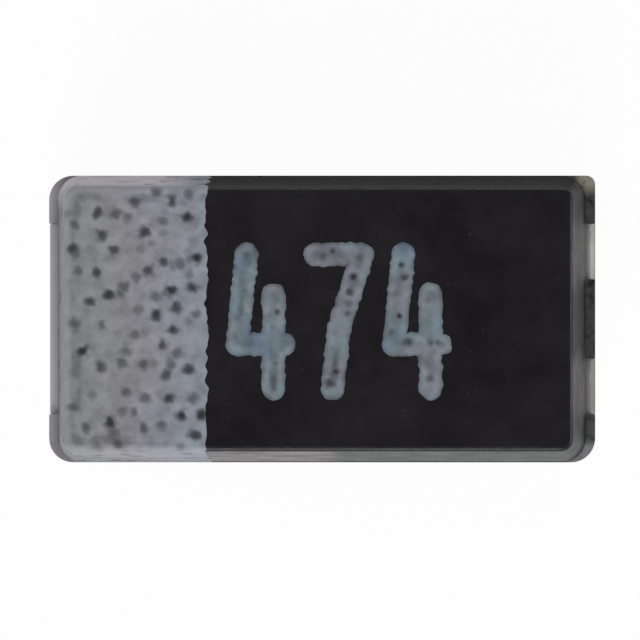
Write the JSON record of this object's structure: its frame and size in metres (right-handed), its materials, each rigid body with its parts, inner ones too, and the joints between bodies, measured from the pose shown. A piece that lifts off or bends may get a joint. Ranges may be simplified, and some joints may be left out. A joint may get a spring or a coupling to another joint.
{
  "type": "moulded chip tantalum capacitor",
  "caption": "Surface-mount tantalum capacitor: black moulded resin case with a pitted light band at the anode end and a forked, folded cathode terminal.",
  "frame": {"origin": "on the board, under the middle of the part", "axes": "+X along the length towards the cathode end, -Z towards the board, so the marked face looks along +Z"},
  "size_m": [0.0032, 0.0016, 0.0016],
  "materials": {
    "case_resin": "moulded black epoxy, fine matt",
    "band_print": "laser-lightened resin, pitted",
    "tinned_lead": "matt tin plating on lead frame",
    "tantalum_wire": "drawn tantalum",
    "washer_plastic": "white fluoropolymer",
    "sintered_tantalum": "porous, matt",
    "manganese_dioxide": "dull black",
    "graphite": "dull dark grey",
    "silver_paint": "matt silver paint",
    "silver_adhesive": "cured silver-filled adhesive"
  },
  "bodies": {
    "root": {"moulded_case": "case_resin", "polarity_band": "band_print", "cathode_terminal": "tinned_lead", "anode_terminal": "tinned_lead", "anode_wire": "tantalum_wire", "wire_washer": "washer_plastic", "tantalum_pellet": "sintered_tantalum", "electrolyte_coat": "manganese_dioxide", "carbon_coat": "graphite", "silver_coat": "silver_paint", "silver_adhesive": "silver_adhesive"}
  },
  "joints": []
}
